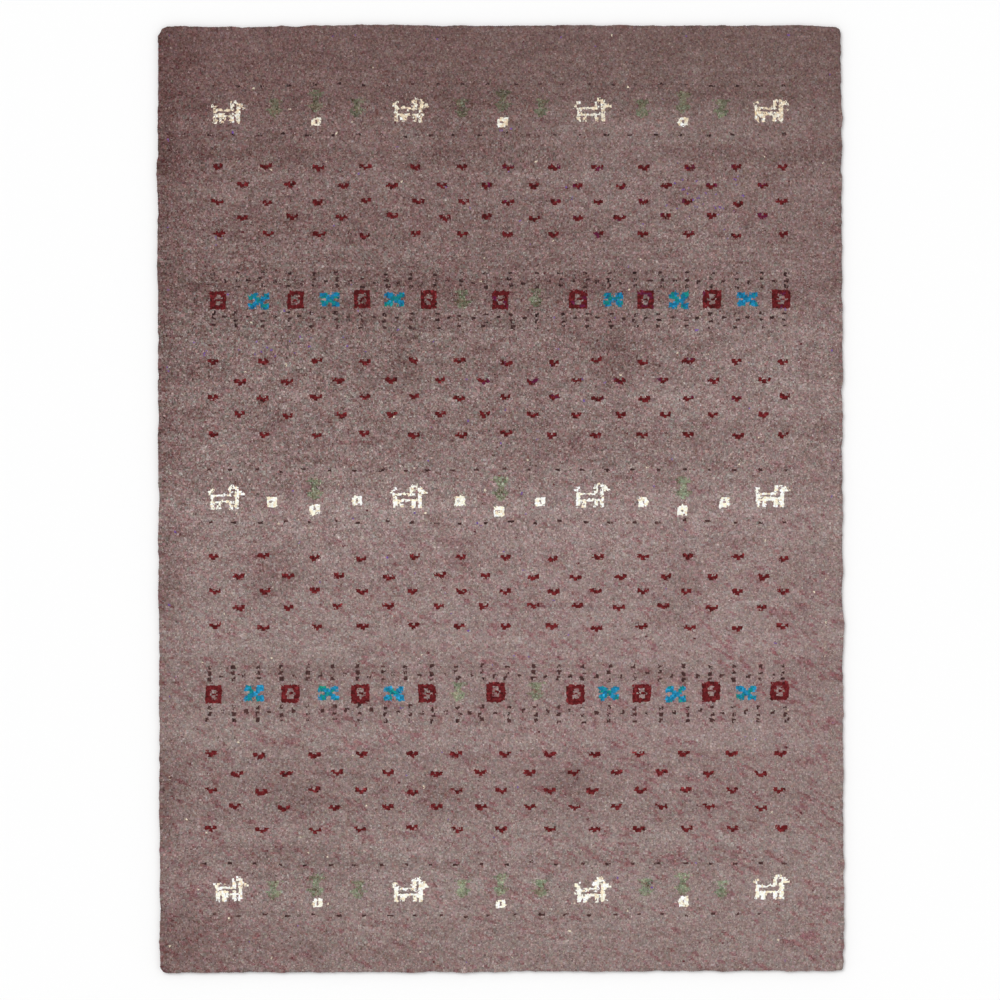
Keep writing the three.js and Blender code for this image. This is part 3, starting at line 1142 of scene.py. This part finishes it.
def foundation_mesh(colours):
    """Closed thin sheet under the pile: its back shows the knots, two by two."""
    rng = np.random.default_rng(BACK_SEED)
    rows = (ROWS + 1) // 2
    columns = COLUMNS // 2
    x, y = grid(rows, columns, FOUNDATION_INSET)
    z = np.clip(rng.normal(BACK_RISE, BACK_SPREAD, x.shape), 0, BACK_LIMIT)
    back = np.stack((x, y, z), axis=-1).reshape(-1, 3)
    walk, beside = rim_walk(rows, columns)
    ids = np.arange(x.size).reshape(x.shape)
    rim = ids[walk[:, 0], walk[:, 1]]
    top = back[rim].copy()
    top[:, 2] = FOUNDATION_TOP
    top_id = x.size + np.arange(len(rim))
    loop = (ids[:-1, :-1], ids[:-1, 1:], ids[1:, 1:], ids[1:, :-1])
    quads = np.stack(loop, axis=-1).reshape(-1, 4)
    sides = np.stack((top_id, np.roll(top_id, -1), np.roll(rim, -1), rim), axis=-1)
    faces = list(quads) + list(sides) + [top_id[::-1]]
    even_rows = np.concatenate((colours, colours[-1:]))[: 2 * rows]
    block = even_rows.reshape(rows, 2, columns, 2, 3).mean(axis=(1, 3))
    mean_colour = colours.mean(axis=(0, 1))[None]
    face_colours = np.concatenate((block.reshape(-1, 3), block[beside[:, 0], beside[:, 1]], mean_colour))
    return np.concatenate((back, top)), faces, face_colours


# Materials. Sizes of noise are its scale in a metre, depths of bump are in metres.
FIBRE_SCALE = 1100
CLUMP_SCALE = 330
BACK_FIBRE_SCALE = 900
NOISE_ROUGHNESS = 0.6
BUMP_DEPTH = 0.0006
FLOOR_TONE = 0.89


def new_material(name, roughness, specular):
    """A material with one plain shader: the material, its node tree and the shader."""
    material = bpy.data.materials.new(name)
    material.use_nodes = True
    tree = material.node_tree
    tree.nodes.clear()
    output = tree.nodes.new("ShaderNodeOutputMaterial")
    shader = tree.nodes.new("ShaderNodeBsdfPrincipled")
    tree.links.new(shader.outputs["BSDF"], output.inputs["Surface"])
    shader.inputs["Roughness"].default_value = roughness
    shader.inputs["Specular IOR Level"].default_value = specular
    return material, tree, shader


def math_node(tree, operation, *values):
    """A math node's result. Each value is a number or another node's output."""
    node = tree.nodes.new("ShaderNodeMath")
    node.operation = operation
    for socket, value in zip(node.inputs, values):
        if isinstance(value, (int, float)):
            socket.default_value = value
        else:
            tree.links.new(value, socket)
    return node.outputs[0]


def noise_node(tree, place, scale, detail):
    noise = tree.nodes.new("ShaderNodeTexNoise")
    noise.inputs["Scale"].default_value = scale
    noise.inputs["Detail"].default_value = detail
    noise.inputs["Roughness"].default_value = NOISE_ROUGHNESS
    tree.links.new(place, noise.inputs["Vector"])
    return noise.outputs["Fac"]


def ripple_node(tree, along, length):
    """A sine wave of that length."""
    return math_node(tree, "SINE", math_node(tree, "MULTIPLY", along, 2 * math.pi / length))


def dress_in_wool(tree, shader, tone, relief, strength):
    """Give the shader each knot's own colour, lighter or darker by the tone, and a bump."""
    wool = tree.nodes.new("ShaderNodeAttribute")
    wool.attribute_name = "wool"
    toned = tree.nodes.new("ShaderNodeVectorMath")
    toned.operation = "SCALE"
    tree.links.new(wool.outputs["Color"], toned.inputs[0])
    tree.links.new(tone, toned.inputs["Scale"])
    tree.links.new(toned.outputs["Vector"], shader.inputs["Base Color"])
    bump = tree.nodes.new("ShaderNodeBump")
    bump.inputs["Strength"].default_value = strength
    bump.inputs["Distance"].default_value = BUMP_DEPTH
    tree.links.new(relief, bump.inputs["Height"])
    tree.links.new(bump.outputs["Normal"], shader.inputs["Normal"])


def wool_pile():
    """Cut wool: the knot's colour, broken up by fibre ends and clumps, with painted shade in the fibres'
    hollows and a soft sheen.
    """
    material, tree, shader = new_material("cut wool pile", roughness=0.95, specular=0.15)
    place = tree.nodes.new("ShaderNodeTexCoord").outputs["Object"]
    fibres = noise_node(tree, place, FIBRE_SCALE, detail=3)
    clumps = noise_node(tree, place, CLUMP_SCALE, detail=2)
    # The fibre noise that raises the bump also lightens the colour: fibre tone, with painted shade in the
    # hollows
    fibre_tone_and_shade = math_node(tree, "MULTIPLY_ADD", fibres, 0.5, 0.75)
    clump_tone = math_node(tree, "MULTIPLY_ADD", clumps, 0.36, 0.82)
    tone = math_node(tree, "MULTIPLY", fibre_tone_and_shade, clump_tone)
    dress_in_wool(tree, shader, tone, fibres, strength=0.55)
    shader.inputs["Sheen Weight"].default_value = 0.12
    shader.inputs["Sheen Roughness"].default_value = 0.6
    return material


def woven_back():
    """Back of the rug: knot loops in ribs along the weft, two loops a knot, with painted shade in the
    troughs.
    """
    material, tree, shader = new_material("woven back", roughness=0.92, specular=0.2)
    place = tree.nodes.new("ShaderNodeTexCoord").outputs["Object"]
    apart = tree.nodes.new("ShaderNodeSeparateXYZ")
    tree.links.new(place, apart.inputs[0])
    ribs = ripple_node(tree, apart.outputs["Y"], PITCH)
    loops = ripple_node(tree, apart.outputs["X"], PITCH / 2)
    weave = math_node(tree, "MULTIPLY_ADD", ribs, 0.5, loops)
    relief = math_node(tree, "ADD", weave, noise_node(tree, place, BACK_FIBRE_SCALE, detail=3))
    # The colour follows the relief: painted shade in the troughs between ribs and loops
    tone = math_node(tree, "MULTIPLY_ADD", relief, 0.08, 0.72)
    dress_in_wool(tree, shader, tone, relief, strength=0.6)
    return material


def pale_floor():
    material, tree, shader = new_material("pale floor", roughness=0.9, specular=0.1)
    shader.inputs["Base Color"].default_value = (FLOOR_TONE, FLOOR_TONE, FLOOR_TONE, 1)
    return material


# Floor, light and camera. Lengths are in metres and angles in degrees.
FLOOR_HALF = 9.0
FLOOR_GAP = 0.0003
SKY_STRENGTH = 0.75
KEY_STRENGTH = 1.4
KEY_SOFTNESS = 35
KEY_TILT = (-24, -26, 0)
CAMERA_DISTANCE = 12.0
CAMERA_REACH = 60
SENSOR_WIDTH = 36


def add_floor():
    mesh = bpy.data.meshes.new("floor")
    corners = [(sx * FLOOR_HALF, sy * FLOOR_HALF, 0) for sx, sy in ((-1, -1), (1, -1), (1, 1), (-1, 1))]
    mesh.from_pydata(corners, [], [(0, 1, 2, 3)])
    mesh.materials.append(pale_floor())
    floor = bpy.data.objects.new("floor", mesh)
    floor.location.z = -FLOOR_GAP
    bpy.context.scene.collection.objects.link(floor)


def add_light():
    """Even white light from all round, and one wide soft light from above."""
    world = bpy.data.worlds.new("soft studio")
    world.use_nodes = True
    background = world.node_tree.nodes["Background"]
    background.inputs["Color"].default_value = (1, 1, 1, 1)
    background.inputs["Strength"].default_value = SKY_STRENGTH
    bpy.context.scene.world = world
    key_data = bpy.data.lights.new("key", "SUN")
    key_data.energy = KEY_STRENGTH
    key_data.angle = math.radians(KEY_SOFTNESS)
    key = bpy.data.objects.new("key", key_data)
    key.rotation_euler = [math.radians(angle) for angle in KEY_TILT]
    bpy.context.scene.collection.objects.link(key)


def add_camera():
    """Straight above the rug, with the photograph's middle under it."""
    camera_data = bpy.data.cameras.new("camera")
    camera_data.sensor_width = SENSOR_WIDTH
    camera_data.lens = SENSOR_WIDTH * CAMERA_DISTANCE / (PHOTO_SIZE * PIXEL)
    camera_data.clip_end = CAMERA_REACH
    camera = bpy.data.objects.new("camera", camera_data)
    camera.location = (
        (PHOTO_SIZE / 2 - PHOTO_MIDDLE_ACROSS) * PIXEL,
        (PHOTO_MIDDLE_DOWN - PHOTO_SIZE / 2) * PIXEL,
        PILE_TOP + CAMERA_DISTANCE,
    )
    bpy.context.scene.collection.objects.link(camera)
    bpy.context.scene.camera = camera


# The rug and its scene

tuft_sides = wool_colours()
pile_pieces = add_pile(tuft_sides)
back_points, back_faces, back_colours = foundation_mesh(tuft_sides.mean(axis=0))
foundation = add_piece("foundation", back_points, back_faces, back_colours, woven_back())

add_floor()
add_light()
add_camera()
bpy.context.scene.view_settings.view_transform = "Standard"
bpy.context.scene.view_settings.look = "None"

bpy.context.view_layer.update()
